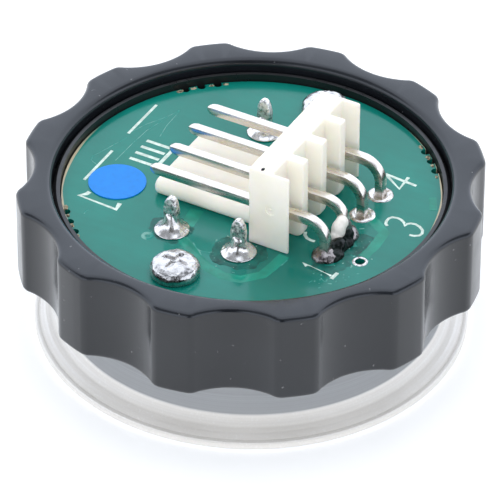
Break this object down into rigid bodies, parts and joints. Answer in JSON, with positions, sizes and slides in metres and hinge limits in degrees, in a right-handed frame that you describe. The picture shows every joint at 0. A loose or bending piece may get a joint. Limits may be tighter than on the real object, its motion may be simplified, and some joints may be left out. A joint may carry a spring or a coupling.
{
  "type": "elevator push button",
  "caption": "Round illuminated panel push button with a metal bezel, a lobed ring nut and a circuit board with a right-angle connector at its back.",
  "frame": {"origin": "on the button's axis, in the plane of the bezel's front face, which lies on the floor", "axes": "+Z along the axis from the front face to the connector side; +X along the row of connector pins; +Y the way the connector's pins point"},
  "size_m": [0.031, 0.031, 0.0162],
  "materials": {
    "bezel_metal": "satin, finely turned",
    "cap_metal": "satin",
    "light_plastic": "translucent, fine matt",
    "clear_plastic": "translucent, moulded",
    "black_plastic": "semi-matt, moulded",
    "nut_plastic": "semi-gloss, moulded, slightly dusty",
    "board": "glossy lacquer over glass-fibre laminate",
    "spring_wire": "drawn wire",
    "switch_plastic": "moulded",
    "cover_metal": "tinned sheet",
    "stem_plastic": "moulded",
    "dome_metal": "thin sheet",
    "diode_plastic": "moulded",
    "header_plastic": "semi-matt, moulded",
    "bridge_solder": "bright, with brown flux",
    "solder": "bright",
    "lead_metal": "tinned",
    "pin_metal": "tinned",
    "led_plastic": "moulded with a clear dish",
    "screw_metal": "zinc plated, worn recess",
    "resistor_body": "ceramic with a dark coat",
    "sticker_paper": "coloured paper"
  },
  "bodies": {
    "base": {"bezel": "bezel_metal", "light_ring": "light_plastic", "housing": "black_plastic", "circuit_board": "board", "return_spring": "spring_wire", "switch_base": "switch_plastic", "switch_cover": "cover_metal", "switch_dome": "dome_metal", "diode": "diode_plastic", "header_housing": "header_plastic", "solder_bridge": "bridge_solder", "sticker": "sticker_paper", "switch_lead_1": "lead_metal", "switch_solder_1": "solder", "header_pin_1": "pin_metal", "pin_solder_1": "solder", "led_1": "led_plastic", "switch_lead_2": "lead_metal", "switch_solder_2": "solder", "header_pin_2": "pin_metal", "pin_solder_2": "solder", "led_2": "led_plastic", "switch_lead_3": "lead_metal", "switch_solder_3": "solder", "header_pin_3": "pin_metal", "pin_solder_3": "solder", "led_3": "led_plastic", "switch_lead_4": "lead_metal", "switch_solder_4": "solder", "header_pin_4": "pin_metal", "pin_solder_4": "solder", "led_4": "led_plastic", "board_screw_1": "screw_metal", "resistor_1": "resistor_body", "board_screw_2": "screw_metal", "resistor_2": "resistor_body"},
    "button": {"plunger": "clear_plastic", "button_cap": "cap_metal"},
    "stem": {"switch_stem": "stem_plastic"},
    "nut": {"ring_nut": "nut_plastic"}
  },
  "joints": [
    {"name": "button_press", "type": "slide", "parent": "base", "child": "button", "axis": [0, 0, 1], "range_m": [0, 0.0003], "stiffness_N_per_m": 2000, "springref_m": -0.0005, "deforming": ["return_spring", "switch_dome"]},
    {"name": "switch_travel", "type": "slide", "parent": "base", "child": "stem", "axis": [0, 0, 1], "range_m": [0, 0.0003]},
    {"name": "nut_turn", "type": "hinge", "parent": "base", "child": "nut", "pos_m": [0, 0, 0.00497], "axis": [0, 0, 1], "continuous": true}
  ],
  "couplings": [
    {"joint": "switch_travel", "follows": "button_press", "ratio": 1}
  ]
}
